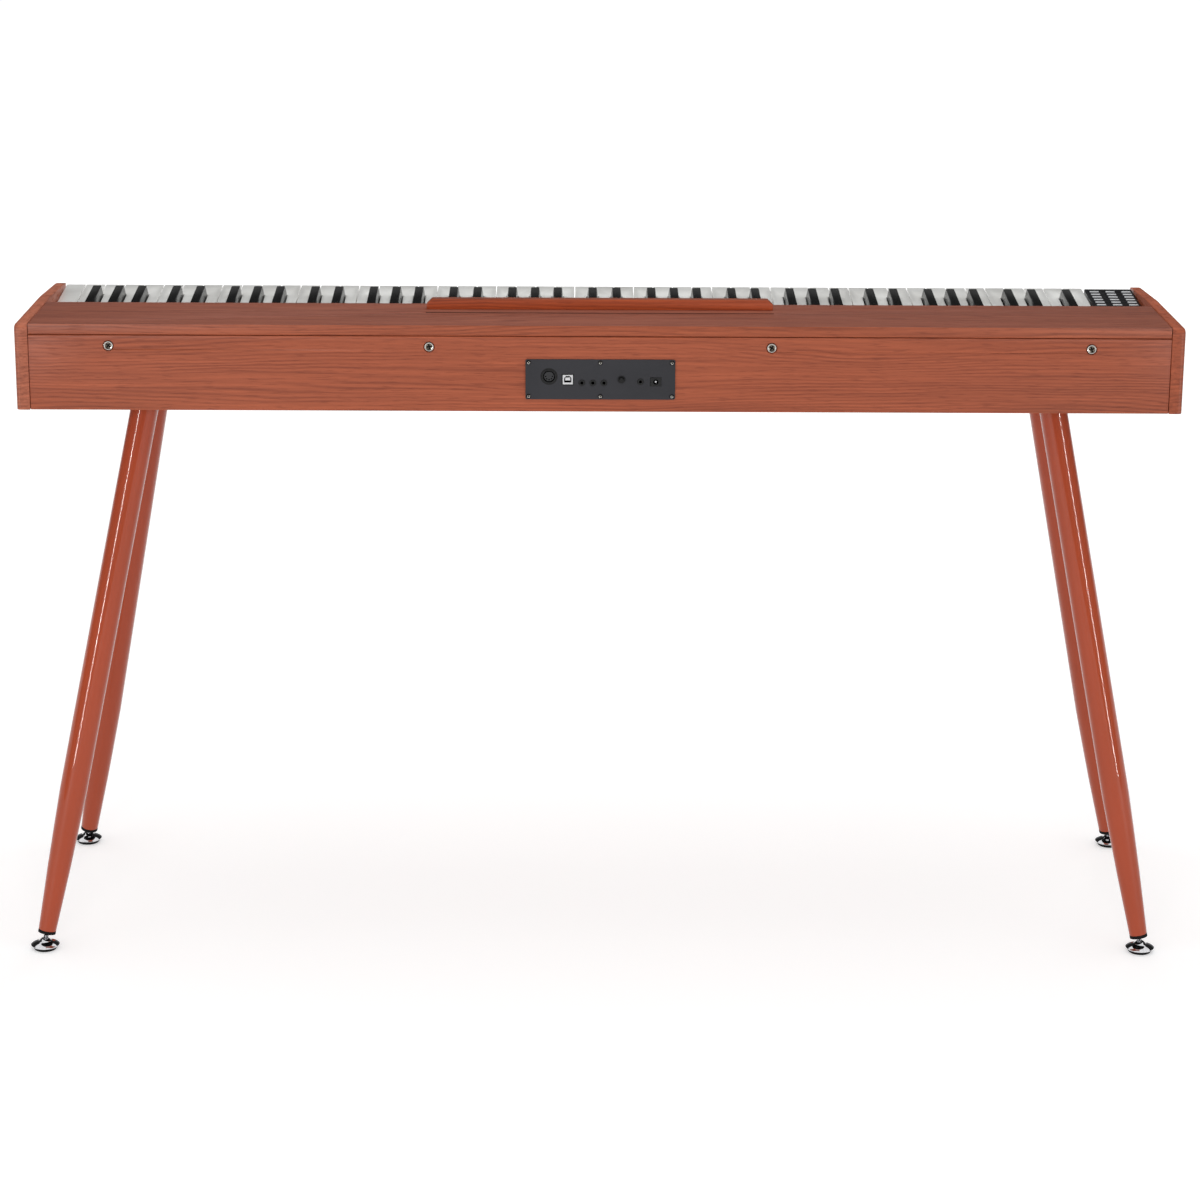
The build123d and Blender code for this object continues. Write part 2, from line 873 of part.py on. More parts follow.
def make_dc_socket():
    face = back_y + terminal_thickness + socket_rise
    shell = body_box(dc_width, dc_shell_height, dc_x, dc_height)
    shell += box_with_nose(dc_width, dc_shell_height, dc_x, dc_height)
    shell -= rod_along_y(dc_well_diameter, dc_x, dc_height, (face - dc_depth, face))
    return shell + rod_along_y(dc_pin_diameter, dc_x, dc_height, (face - dc_depth, face - socket_rise))


def make_power_switch():
    face = back_y + terminal_thickness + socket_rise
    body = body_box(power_body_width, power_body_width, power_x, power_height)
    body += rod_with_nose(power_collar_diameter, power_x, power_height)
    bore = power_button_diameter + 2 * power_clearance
    return body - rod_along_y(bore, power_x, power_height, (power_bore_end(), face))


def power_bore_end():
    return back_y - socket_body_depth() / 2


def make_power_button():
    start = power_bore_end() + power_travel + stop_gap
    crown = back_y + terminal_thickness + socket_rise + power_rise
    button = rod_along_y(power_button_diameter, power_x, power_height, (start, crown))
    rim = button.edges().filter_by(GeomType.CIRCLE).sort_by(Axis.Y)[-1]
    return chamfer(rim, power_button_diameter / 8)


def make_jack_board():
    left, right = window_spans()
    y_high = back_y - socket_body_depth()
    low = terminal_centre_height - jack_board_height / 2
    x_span = (left[0], right[1])
    return block(x_span, (y_high - circuit_thickness, y_high), (low, low + jack_board_height))


# Main board and speakers

def make_main_board():
    y_high = back_y - board_thickness - main_board_wall_gap
    y_low = y_high - main_board_width
    half = main_board_length / 2
    low = board_thickness + main_board_rise
    top = low + circuit_thickness
    board = block((main_board_x - half, main_board_x + half), (y_low, y_high), (low, top))
    half_post = standoff_width / 2
    for side in (-1, 1):
        x = main_board_x + side * (half - standoff_inset)
        x_span = (x - half_post, x + half_post)
        for y in (y_low + standoff_inset, y_high - standoff_inset):
            board += block(x_span, (y - half_post, y + half_post), (board_thickness, low))
    middle_y = (y_low + y_high) / 2
    for step in (-1, 0, 1):
        x = main_board_x + step * 2 * chip_side
        y_span = (middle_y - chip_side / 2, middle_y + chip_side / 2)
        board += block((x - chip_side / 2, x + chip_side / 2), y_span, (top, top + chip_height))
    for step in (-1, 1):
        x = main_board_x + step * 3 * chip_side
        board += post(capacitor_diameter, x, middle_y, (top, top + capacitor_height))
    return board


def make_speakers():
    base = board_thickness
    frame_r = speaker_frame_diameter / 2
    hole_r = speaker_hole_diameter / 2
    magnet_r = speaker_magnet_diameter / 2
    ring_top = base + speaker_frame_thickness
    cone_top = ring_top + speaker_cone_depth
    section = [
        (0, cone_top - speaker_cone_thickness),
        (magnet_r / 2, cone_top - speaker_cone_thickness),
        (hole_r - speaker_frame_thickness, base),
        (frame_r, base),
        (frame_r, ring_top),
        (hole_r, ring_top),
        (magnet_r, cone_top),
        (magnet_r, cone_top + speaker_magnet_height),
        (0, cone_top + speaker_magnet_height),
    ]
    speakers = []
    for side in (-1, 1):
        points = [(r, 0, h) for r, h in section]
        body = revolve(make_face(Polyline(*points, close=True)), Axis.Z)
        speakers.append(Pos(side * speaker_x, speaker_y(), floor_to_body) * body)
    return speakers


def make_speaker_grilles():
    grilles = []
    slot_count = int((grille_diameter - 2 * grille_slot_pitch) / grille_slot_pitch) // 2
    for side in (-1, 1):
        x = side * speaker_x
        y = speaker_y()
        disc = post(grille_diameter, x, y, (-grille_thickness, 0))
        for step in range(-slot_count, slot_count + 1):
            offset = step * grille_slot_pitch
            reach = math.sqrt((grille_diameter / 2 - grille_slot_pitch) ** 2 - offset ** 2)
            y_span = (y + offset - grille_slot_width / 2, y + offset + grille_slot_width / 2)
            disc -= block((x - reach, x + reach), y_span, (-grille_thickness, 0))
        grilles.append(disc)
    return grilles


# Legs, their plates and the levelling feet

def leg_corners():
    return {"rear_treble": (1, 1), "rear_bass": (-1, 1), "front_treble": (1, -1), "front_bass": (-1, -1)}


def leg_top(side):
    return Vector(side[0] * leg_top_x, side[1] * leg_top_y, floor_to_body)


def swivel_centre(side):
    # The legs stand slightly askew: the rear feet lean to the treble end and the front feet to the bass end
    x = side[0] * (leg_top_x + leg_splay_x) + side[1] * leg_skew
    return Vector(x, side[1] * (leg_top_y + leg_splay_y), swivel_height)


def swivel_depth(side):
    return (swivel_centre(side) - leg_top(side)).length


def along_leg(side, depth):
    # A place on the leg's axis: local Z runs from the underside of the cabinet down the leg
    run = (swivel_centre(side) - leg_top(side)).normalized()
    return Location(Plane(origin=leg_top(side) + run * depth, z_dir=run))


def leg_rod(side, diameter, depth_span):
    length = depth_span[1] - depth_span[0]
    middle = (depth_span[0] + depth_span[1]) / 2
    return along_leg(side, middle) * Cylinder(diameter / 2, length)


def plate_screw_places():
    half = plate_screw_spacing / 2
    for side in leg_corners().values():
        for dx in (-half, half):
            for dy in (-half, half):
                yield side[0] * leg_top_x + dx, side[1] * leg_top_y + dy


def make_leg_plates():
    plates = []
    half = leg_plate_side / 2
    for side in leg_corners().values():
        x = side[0] * leg_top_x
        y = side[1] * leg_top_y
        plate = block((x - half, x + half), (y - half, y + half), (-leg_plate_thickness, 0))
        plate = chamfer(plate.edges().filter_by(Axis.Z), leg_plate_corner)
        boss = leg_rod(side, leg_boss_diameter, (-leg_boss_length, leg_boss_length))
        above = block((x - half, x + half), (y - half, y + half), (-leg_plate_thickness, leg_boss_diameter))
        plate += boss - above
        bore = leg_stud_diameter + 2 * leg_stud_clearance
        depth = leg_boss_length - leg_stud_length - stop_gap
        plate -= leg_rod(side, bore, (depth, leg_boss_length))
        plates.append(plate)
    for x, y in plate_screw_places():
        hole = post(plate_screw_diameter + 2 * socket_clearance, x, y, (-leg_plate_thickness, 0))
        plates = [plate - hole for plate in plates]
    return plates


def make_leg_plate_screws():
    screws = []
    seat = -leg_plate_thickness
    for x, y in plate_screw_places():
        head = post(plate_screw_head, x, y, (seat - plate_screw_head_thickness, seat))
        shank = post(plate_screw_diameter - socket_clearance, x, y, (seat, seat + plate_screw_length))
        screws.append(head + shank)
    return screws


def make_leg(side):
    top = leg_boss_length
    tube = [
        (0, top),
        (leg_diameter / 2, top),
        (leg_diameter / 2, leg_knee_depth),
        (leg_shin_diameter / 2, leg_shin_depth),
        (leg_tip_diameter / 2, leg_length),
        (leg_tip_diameter / 2 - leg_wall, leg_length),
        (leg_diameter / 2 - leg_wall, leg_knee_depth),
        (leg_diameter / 2 - leg_wall, top + leg_head_thickness),
        (0, top + leg_head_thickness),
    ]
    points = [(r, 0, depth) for r, depth in tube]
    body = revolve(make_face(Polyline(*points, close=True)), Axis.Z)
    leg = along_leg(side, 0) * body
    return leg + leg_rod(side, leg_stud_diameter, (top - leg_stud_length, top))


def make_leg_tip_plugs():
    plugs = []
    tip = leg_length
    inner = leg_tip_diameter - 2 * leg_wall - 2 * plug_clearance
    for side in leg_corners().values():
        plug = leg_rod(side, leg_tip_diameter, (tip, tip + plug_thickness))
        plug += leg_rod(side, inner, (tip - plug_spigot_length, tip))
        bore = stem_diameter + 2 * stem_clearance
        plugs.append(plug - leg_rod(side, bore, (tip - plug_spigot_length, tip + plug_thickness)))
    return plugs


def foot_centre(side):
    centre = swivel_centre(side)
    return Pos(centre.X, centre.Y, 0)


def make_levelling_foot(side):
    rim = cap_diameter / 2
    hump = hump_diameter / 2
    hump_top = hump_top_diameter / 2
    rim_height = pad_height + cap_rim
    dome_top = rim_height + cap_height
    crown = dome_top + hump_height
    base = Polyline((0, 0, pad_height), (rim, 0, pad_height), (rim, 0, rim_height))
    dome = ThreePointArc(
        (rim, 0, rim_height),
        ((rim + hump) / 2, 0, rim_height + cap_height * 0.62),
        (hump, 0, dome_top),
    )
    neck = Polyline((hump, 0, dome_top), (hump_top, 0, crown), (0, 0, crown), (0, 0, pad_height))
    cap = foot_centre(side) * revolve(make_face(base + dome + neck), Axis.Z)
    depth = swivel_depth(side)
    return cap + leg_rod(side, stem_diameter, (depth - stem_length, depth))


def make_foot_pad(side):
    top = pad_top_diameter / 2
    base = pad_floor_diameter / 2
    points = [(0, 0, 0), (base, 0, 0), (top, 0, pad_height), (0, 0, pad_height)]
    return foot_centre(side) * revolve(make_face(Polyline(*points, close=True)), Axis.Z)


def build_cabinet():
    save("side_panel_bass", make_side_panel(-body_width / 2))
    save("side_panel_treble", make_side_panel(body_width / 2 - side_thickness))
    save("top_lid", make_lid())
    save("back_board", make_back_board())
    save("bottom_board", make_bottom_board())
    save("front_rail", make_front_rail())
    save("music_ledge", make_music_ledge())
    save("back_bolts", *make_back_bolts())
    save("lid_blocks", *make_corner_blocks())


def build_keyboard():
    keys = keyboard_layout()
    save_keys(keys)
    save("keybed_chassis", make_chassis())
    save("key_pivot_rod", make_pivot_rod())
    save("key_spring_comb", make_spring_comb(keys))
    save("key_felts", *make_key_felts())
    save("contact_board", make_contact_board())
    save("contact_rubber", make_contact_rubber())


def build_control_pod():
    save("control_pod", make_control_pod())
    save("button_board", make_button_board())
    for column, name in enumerate(("left", "middle", "right")):
        buttons = [make_button(x, y) for x, y in button_places(column)]
        save(f"buttons_{name}", *buttons)


def build_terminals():
    save("terminal_plate", make_terminal_plate())
    save("terminal_screws", *make_terminal_screws())
    save("jack_board", make_jack_board())
    save("midi_socket", make_midi_socket())
    save("usb_socket", make_usb_socket())
    save("audio_jacks", *make_audio_jacks())
    save("dc_socket", make_dc_socket())
    save("power_switch", make_power_switch())
    save("power_button", make_power_button())
    save("main_board", make_main_board())
    save("speakers", *make_speakers())
    save("speaker_grilles", *make_speaker_grilles())


def build_legs():
    save("leg_plates", *make_leg_plates())
    save("leg_plate_screws", *make_leg_plate_screws())
    save("leg_tip_plugs", *make_leg_tip_plugs())
    for name, side in leg_corners().items():
        save(f"leg_{name}", make_leg(side))
        save(f"levelling_foot_{name}", make_levelling_foot(side))
        save(f"foot_pad_{name}", make_foot_pad(side))


build_cabinet()
build_keyboard()
build_control_pod()
build_terminals()
build_legs()
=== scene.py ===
import json
import math

import bmesh
import bpy
from mathutils import Matrix, Vector


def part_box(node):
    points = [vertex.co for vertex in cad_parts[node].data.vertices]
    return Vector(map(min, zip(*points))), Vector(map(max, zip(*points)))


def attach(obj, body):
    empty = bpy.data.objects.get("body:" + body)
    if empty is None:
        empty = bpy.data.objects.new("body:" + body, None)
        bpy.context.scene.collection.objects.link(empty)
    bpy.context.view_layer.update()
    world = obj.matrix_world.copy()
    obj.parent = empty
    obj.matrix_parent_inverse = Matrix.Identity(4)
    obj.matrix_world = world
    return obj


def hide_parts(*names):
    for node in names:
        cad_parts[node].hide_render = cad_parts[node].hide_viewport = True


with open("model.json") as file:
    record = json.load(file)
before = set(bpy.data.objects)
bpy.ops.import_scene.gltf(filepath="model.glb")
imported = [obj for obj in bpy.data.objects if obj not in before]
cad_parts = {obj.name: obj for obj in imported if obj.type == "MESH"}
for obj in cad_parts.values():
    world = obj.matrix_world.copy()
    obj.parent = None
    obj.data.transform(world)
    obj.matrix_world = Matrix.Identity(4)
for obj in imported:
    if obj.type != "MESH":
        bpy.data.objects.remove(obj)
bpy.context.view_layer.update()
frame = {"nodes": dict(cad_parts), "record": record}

nodes = frame["nodes"]
bodyOf = {node: body for body, members in frame["record"]["behaviour"]["bodies"].items() for node in members}
print("frame loaded,", len(nodes), "nodes")

# camera, from behind the piano and a little above its lid
cameraPlace = {
    "x": 0.0334,
    "y": 4.2547,
    "z": 1.7656,
    "turn": -0.484,   # degrees off the straight line back
    "down": 18.056,
    "roll": 0.348,
    "lens": 112.55,
}


def makeCamera(facts):
    turn = math.radians(facts["turn"])
    down = math.radians(facts["down"])
    roll = math.radians(facts["roll"])
    ahead = Vector((math.sin(turn) * math.cos(down), -math.cos(turn) * math.cos(down), -math.sin(down)))
    right = ahead.cross(Vector((0, 0, 1))).normalized()
    up = right.cross(ahead)
    rightRolled = right * math.cos(roll) + up * math.sin(roll)
    upRolled = up * math.cos(roll) - right * math.sin(roll)
    camData = bpy.data.cameras.new("camera")
    camData.sensor_width = 36
    camData.lens = facts["lens"]
    camData.clip_start = 0.05
    camData.clip_end = 60
    cam = bpy.data.objects.new("camera", camData)
    bpy.context.scene.collection.objects.link(cam)
    cam.matrix_world = Matrix((
        (rightRolled.x, upRolled.x, -ahead.x, facts["x"]),
        (rightRolled.y, upRolled.y, -ahead.y, facts["y"]),
        (rightRolled.z, upRolled.z, -ahead.z, facts["z"]),
        (0, 0, 0, 1),
    ))
    bpy.context.scene.camera = cam


makeCamera(cameraPlace)
print("camera placed")


def shade(red, green, blue):
    # a colour as a paint chart gives it, 0 to 255, turned into the shader's values
    out = []
    for part in (red, green, blue):
        part = min(max(part, 0), 255) / 255
        out.append(part / 12.92 if part <= 0.04045 else ((part + 0.055) / 1.055) ** 2.4)
    return (*out, 1.0)


def newFinish(name, roughness=0.5, metal=0.0, coat=0.0, coatRoughness=0.1, specular=0.5):
    finish = bpy.data.materials.new(name)
    finish.use_nodes = True
    tree = finish.node_tree
    shader = tree.nodes["Principled BSDF"]
    shader.inputs["Roughness"].default_value = roughness
    shader.inputs["Metallic"].default_value = metal
    shader.inputs["Coat Weight"].default_value = coat
    shader.inputs["Coat Roughness"].default_value = coatRoughness
    shader.inputs["Specular IOR Level"].default_value = specular
    return finish, tree, shader


def add(tree, kind, **values):
    node = tree.nodes.new(kind)
    for key, value in values.items():
        setattr(node, key, value)
    return node


def plug(tree, value, socket):
    if isinstance(value, (int, float, tuple)):
        socket.default_value = value
    else:
        tree.links.new(value, socket)


def place(tree):
    return add(tree, "ShaderNodeTexCoord").outputs["Object"]


def scaled(tree, vector, scale, start=(0, 0, 0)):
    mapping = add(tree, "ShaderNodeMapping")
    mapping.inputs["Scale"].default_value = scale
    mapping.inputs["Location"].default_value = start
    tree.links.new(vector, mapping.inputs["Vector"])
    return mapping.outputs["Vector"]


def noise(tree, vector, detail=3.0, rough=0.5, output="Fac"):
    node = add(tree, "ShaderNodeTexNoise")
    node.inputs["Scale"].default_value = 1.0
    node.inputs["Detail"].default_value = detail
    node.inputs["Roughness"].default_value = rough
    tree.links.new(vector, node.inputs["Vector"])
    return node.outputs[output]


def reckon(tree, how, first, second=None, third=None):
    node = add(tree, "ShaderNodeMath", operation=how)
    for index, value in enumerate((first, second, third)):
        if value is not None:
            plug(tree, value, node.inputs[index])
    return node.outputs[0]


def ramp(tree, factor, stops):
    node = add(tree, "ShaderNodeValToRGB")
    band = node.color_ramp
    while len(band.elements) < len(stops):
        band.elements.new(0.5)
    for element, (where, colour) in zip(band.elements, stops):
        element.position = where
        element.color = colour
    tree.links.new(factor, node.inputs["Fac"])
    return node.outputs["Color"]


def fade(tree, factor, low, high):
    # runs smoothly from 0 at low to 1 at high
    node = add(tree, "ShaderNodeMapRange", interpolation_type="SMOOTHSTEP")
    plug(tree, factor, node.inputs["Value"])
    node.inputs["From Min"].default_value = low
    node.inputs["From Max"].default_value = high
    return node.outputs["Result"]


def mixColour(tree, factor, first, second, how="MIX"):
    node = add(tree, "ShaderNodeMix", data_type="RGBA", blend_type=how)
    for index, value in ((0, factor), (6, first), (7, second)):
        plug(tree, value, node.inputs[index])
    return node.outputs[2]


def normalAlong(tree, axis):
    # how far a face looks along an axis, from -1 to 1
    facing = add(tree, "ShaderNodeSeparateXYZ")
    tree.links.new(add(tree, "ShaderNodeNewGeometry").outputs["Normal"], facing.inputs[0])
    return facing.outputs[axis]


def bump(tree, shader, height, distance, strength):
    node = add(tree, "ShaderNodeBump")
    node.inputs["Strength"].default_value = strength
    node.inputs["Distance"].default_value = distance
    tree.links.new(height, node.inputs["Height"])
    tree.links.new(node.outputs["Normal"], shader.inputs["Normal"])


# woodgrain veneer: what every board shares, in metres and turns per metre
veneer = {
    "lines": 215.0,         # dark lines per metre across the grain
    "wander": 12.0,         # how many lines the grain strays by, slowly
    "shake": 0.55,          # and quickly
    "lineDarkness": 0.34,
    "streak": 0.95,
    "poreDarkness": 0.26,
    "roughness": 0.46,
    "poreRoughness": 0.12,  # added to it in the pores
    "specular": 0.32,
    "lineSharpness": 1.7,
    "flatShare": 0.35,      # the end boards' grain is wider in the flat
    # turns per metre along the grain and across it
    "slowTurns": (2.1, 15.0),
    "quickTurns": (14.0, 70.0),
    "patchTurns": (4.0, 62.0),
    "streakTurns": (5.0, 300.0),
    "poreTurns": (40.0, 620.0),
    "broadTurns": (1.3, 14.0),
    "broadShare": 0.36,     # how much the tone changes over a hand's breadth
    "tint": (0.90, 1.04, 1.04),   # the dark lines lose less red than green and blue
}

# each board's tone, the axis its grain runs along, and where in the log it was cut
boards = {
    "back_board": {"tone": (167, 84, 54), "along": 0, "cut": (0.0, 0.0, 0.0)},
    # face: a darker tone painted on the lid's upward faces, painted shade for the weaker light from above
    "top_lid": {"tone": (166, 84, 53), "along": 0, "cut": (3.1, 1.7, 0.6), "face": (142, 80, 61),
                # groove: the lid's stand groove painted near-black, painted shade in the recess
                "groove": {"y": 0.0740, "half": 0.0022, "reach": 0.199, "soft": 0.0002, "tone": (18, 9, 7)}},
    # face: the ledge's upward faces painted darker, painted shade for the weaker light from above
    "music_ledge": {"tone": (177, 79, 40), "along": 0, "cut": (7.3, 2.2, 4.1), "face": (136, 72, 51)},
    "side_panel_treble": {"tone": (176, 99, 72), "along": 1, "cut": (1.9, 5.3, 2.7)},
    "side_panel_bass": {"tone": (164, 82, 52), "along": 1, "cut": (4.4, 8.1, 9.2)},
    "bottom_board": {"tone": (168, 88, 60), "along": 0, "cut": (2.6, 6.6, 3.3)},
    "front_rail": {"tone": (176, 92, 62), "along": 0, "cut": (9.5, 0.8, 5.9)},
}
slant = {0: (0.0, 0.35, 1.0), 1: (0.12, 0.0, 1.0)}   # how the lines lie across each grain direction


def stretch(along, lengthways, across, flat=1.0):
    # turns per metre along the grain, across it in the flat, and across it in the vertical
    out = [across * flat, across * flat, across]
    out[along] = lengthways
    return tuple(out)


def grain(tree, along, cut):
    here = scaled(tree, place(tree), (1, 1, 1), cut)
    flat = veneer["flatShare"] if along == 1 else 1.0

    def pattern(turns, **values):
        return noise(tree, scaled(tree, here, stretch(along, *veneer[turns], flat)), **values)

    across = add(tree, "ShaderNodeVectorMath", operation="DOT_PRODUCT")
    tree.links.new(here, across.inputs[0])
    across.inputs[1].default_value = slant[along]
    turns = reckon(tree, "MULTIPLY_ADD", pattern("slowTurns", detail=1.5, rough=0.4), veneer["wander"],
                   reckon(tree, "MULTIPLY", across.outputs["Value"], veneer["lines"]))
    turns = reckon(tree, "MULTIPLY_ADD", pattern("quickTurns", detail=2.0), 2 * veneer["shake"], turns)
    wave = reckon(tree, "SINE", reckon(tree, "MULTIPLY", turns, 2 * math.pi))
    line = reckon(tree, "POWER", reckon(tree, "MULTIPLY_ADD", wave, 0.5, 0.5), veneer["lineSharpness"])
    patches = fade(tree, pattern("patchTurns", detail=2.0), 0.30, 0.68)
    lines = reckon(tree, "MULTIPLY", line, patches)
    streaks = pattern("streakTurns", detail=3.0, rough=0.6)
    pores = fade(tree, pattern("poreTurns", detail=2.0), 0.52, 0.70)
    return lines, streaks, pores, here


def grooveShadeMask(tree, groove):
    # 1 within the lid's stand groove, 0 outside: where the groove's painted shade goes
    spot = add(tree, "ShaderNodeSeparateXYZ")
    tree.links.new(place(tree), spot.inputs[0])
    off = reckon(tree, "ABSOLUTE", reckon(tree, "SUBTRACT", spot.outputs["Y"], groove["y"]))
    sideways = reckon(tree, "ABSOLUTE", spot.outputs["X"])
    return reckon(tree, "MULTIPLY", fade(tree, off, groove["half"], groove["half"] - groove["soft"]),
                  fade(tree, sideways, groove["reach"] + groove["soft"], groove["reach"]))


def woodFinish(name, tone, along, cut, face=None, groove=None):
    finish, tree, shader = newFinish(name, roughness=veneer["roughness"], specular=veneer["specular"])
    lines, streaks, pores, here = grain(tree, along, cut)
    base = shade(*tone)
    if face:
        # the board's upward faces are painted a darker, browner tone than its edges: painted shade for the
        # weaker light that falls on the top
        shadedTopMask = fade(tree, normalAlong(tree, "Z"), 0.55, 0.85)
        base = mixColour(tree, shadedTopMask, base, shade(*face))
    if groove:
        # the stand groove is painted near-black: painted shade
        base = mixColour(tree, grooveShadeMask(tree, groove), base, shade(*groove["tone"]))
    broad = noise(tree, scaled(tree, here, stretch(along, *veneer["broadTurns"])), detail=2.0)
    lift = reckon(tree, "MULTIPLY_ADD", broad, veneer["broadShare"], 1.0 - veneer["broadShare"] / 2)
    for pattern, share, middle in ((streaks, veneer["streak"], 1.0 - veneer["streak"] / 2),
                                   (lines, -veneer["lineDarkness"], 1.04),
                                   (pores, -veneer["poreDarkness"], 1.03)):
        lift = reckon(tree, "MULTIPLY", lift, reckon(tree, "MULTIPLY_ADD", pattern, share, middle))
    tint = add(tree, "ShaderNodeCombineXYZ")
    for index, push in enumerate(veneer["tint"]):
        plug(tree, reckon(tree, "POWER", lift, push), tint.inputs[index])
    colour = mixColour(tree, 1.0, base, tint.outputs[0], "MULTIPLY")
    tree.links.new(colour, shader.inputs["Base Color"])
    plug(tree, reckon(tree, "MULTIPLY_ADD", pores, veneer["poreRoughness"], veneer["roughness"]),
         shader.inputs["Roughness"])
    bump(tree, shader, reckon(tree, "ADD", pores, lines), 0.0001, 0.3)
    return finish


def plasticFinish(name, tone, roughness, grains=900.0, grainDepth=0.15, coat=0.0, specular=0.5):
    finish, tree, shader = newFinish(name, roughness=roughness, coat=coat, specular=specular)
    fine = noise(tree, scaled(tree, place(tree), (grains, grains, grains)), detail=2.0)
    broad = noise(tree, scaled(tree, place(tree), (14, 14, 14)), detail=3.0)
    lighter = shade(*(part * 1.05 + 1 for part in tone))
    darker = shade(*(part * 0.95 for part in tone))
    colour = ramp(tree, broad, [(0.35, darker), (0.65, lighter)])
    tree.links.new(colour, shader.inputs["Base Color"])
    bump(tree, shader, fine, 0.00005, grainDepth)
    return finish


def metalFinish(name, tone, roughness, scratch=(400, 400, 400), depth=0.12):
    finish, tree, shader = newFinish(name, roughness=roughness, metal=1.0)
    wear = noise(tree, scaled(tree, place(tree), scratch), detail=3.0)
    colour = ramp(tree, wear, [(0.3, shade(*(part * 0.9 for part in tone))), (0.7, shade(*tone))])
    tree.links.new(colour, shader.inputs["Base Color"])
    bump(tree, shader, wear, 0.00003, depth)
    return finish


def socketFinish(name, rim, island, pit, roughness=0.4):
    # a socket seen from behind: its rim, what stands a little way in, and the dark depth round that; the
    # depth's dark tone is painted shade in the opening, over the black plastic most sockets have
    finish, tree, shader = newFinish(name + "_finish", roughness=roughness, specular=0.3)
    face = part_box(name)[1].y
    depth = add(tree, "ShaderNodeSeparateXYZ")
    tree.links.new(place(tree), depth.inputs[0])
    outward = fade(tree, normalAlong(tree, "Y"), 0.5, 0.8)
    nearFace = fade(tree, depth.outputs["Y"], face - 0.0004, face - 0.0002)
    partWay = reckon(tree, "MULTIPLY", fade(tree, depth.outputs["Y"], face - 0.0020, face - 0.0017), outward)
    grit = noise(tree, scaled(tree, place(tree), (1300, 1300, 1300)), detail=2.0)
    # faces deep in the socket take the pit tone: painted shade in the opening
    colour = mixColour(tree, partWay, shade(*pit), shade(*island))
    colour = mixColour(tree, nearFace, colour, shade(*rim))
    colour = mixColour(tree, reckon(tree, "MULTIPLY", grit, 0.12), colour, shade(90, 90, 92))
    tree.links.new(colour, shader.inputs["Base Color"])
    bump(tree, shader, grit, 0.00004, 0.2)
    return finish


legPaintFacts = {
    "tone": (184, 76, 42),
    "roughness": 0.36,
    "specular": 0.12,
    "coat": 0.8,
    "coatRoughness": 0.02,
    "coatIor": 1.38,
}


def paintFinish(name, tone, roughness, specular, coat, coatRoughness, coatIor):
    finish, tree, shader = newFinish(name, roughness=roughness, specular=specular, coat=coat,
                                     coatRoughness=coatRoughness)
    shader.inputs["Coat IOR"].default_value = coatIor
    broad = noise(tree, scaled(tree, place(tree), (9, 9, 5)), detail=2.0)
    peel = noise(tree, scaled(tree, place(tree), (240, 240, 90)), detail=1.0)
    colour = ramp(tree, broad, [(0.3, shade(*(part * 0.96 for part in tone))), (0.7, shade(*tone))])
    tree.links.new(colour, shader.inputs["Base Color"])
    bump(tree, shader, peel, 0.00006, 0.03)
    return finish


def looseParts(name):
    # the lowest and highest corner of each separate solid in a node
    work = bmesh.new()
    work.from_mesh(nodes[name].data)
    bmesh.ops.remove_doubles(work, verts=work.verts, dist=1e-6)
    work.verts.ensure_lookup_table()
    seen = set()
    parts = []
    for first in work.verts:
        if first.index in seen:
            continue
        seen.add(first.index)
        waiting = [first]
        low, high = first.co.copy(), first.co.copy()
        while waiting:
            vert = waiting.pop()
            for axis in range(3):
                low[axis] = min(low[axis], vert.co[axis])
                high[axis] = max(high[axis], vert.co[axis])
            for edge in vert.link_edges:
                other = edge.other_vert(vert)
                if other.index not in seen:
                    seen.add(other.index)
                    waiting.append(other)
        parts.append((low, high))
    work.free()
    return sorted(parts, key=lambda part: [round(value, 4) for value in part[0]])


plateFacts = {
    "tone": (44, 44, 49),
    # surround: the dark tone painted round each socket, partly the sockets' black faces and partly painted
    # shade
    "surround": (9, 9, 10),
    "jackRing": 0.0037,      # radius of the dark ring round each small jack
    "usbEdge": 0.0010,       # how far the dark surround reaches past the socket
    "midiEdge": 0.0006,
    "dcEdge": 0.0004,
    "soft": 0.0003,
}


def plateFinish(facts):
    # black plastic, painted darker round each socket: this stands in for the sockets' own black faces seen
    # through the holes and for painted shade in the gaps round them
    finish = plasticFinish("plate_plastic", facts["tone"], 0.6, grains=1200.0, grainDepth=0.5, specular=0.35)
    tree = finish.node_tree
    shader = tree.nodes["Principled BSDF"]
    spot = add(tree, "ShaderNodeSeparateXYZ")
    tree.links.new(place(tree), spot.inputs[0])
    nearest = None
    for socket, edge in (("audio_jacks", None), ("usb_socket", facts["usbEdge"]),
                         ("midi_socket", facts["midiEdge"]), ("dc_socket", facts["dcEdge"])):
        for low, high in (looseParts(socket) if edge is None else [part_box(socket)]):
            centre, half = (low + high) / 2, (high - low) / 2
            across = reckon(tree, "ABSOLUTE", reckon(tree, "SUBTRACT", spot.outputs["X"], centre.x))
            rise = reckon(tree, "ABSOLUTE", reckon(tree, "SUBTRACT", spot.outputs["Z"], centre.z))
            if socket in ("audio_jacks", "midi_socket"):
                size = facts["jackRing"] if edge is None else half.x + edge
                square = reckon(tree, "MULTIPLY_ADD", across, across, reckon(tree, "MULTIPLY", rise, rise))
                past = reckon(tree, "SUBTRACT", reckon(tree, "SQRT", square), size)
            else:
                past = reckon(tree, "MAXIMUM", reckon(tree, "SUBTRACT", across, half.x + edge),
                              reckon(tree, "SUBTRACT", rise, half.z + edge))
            nearest = past if nearest is None else reckon(tree, "MINIMUM", nearest, past)
    # the plate turns to the surround tone near each socket: partly painted shade
    dark = fade(tree, nearest, facts["soft"], 0.0)
    plain = shader.inputs["Base Color"].links[0].from_socket
    tree.links.new(mixColour(tree, dark, plain, shade(*facts["surround"])), shader.inputs["Base Color"])
    return finish


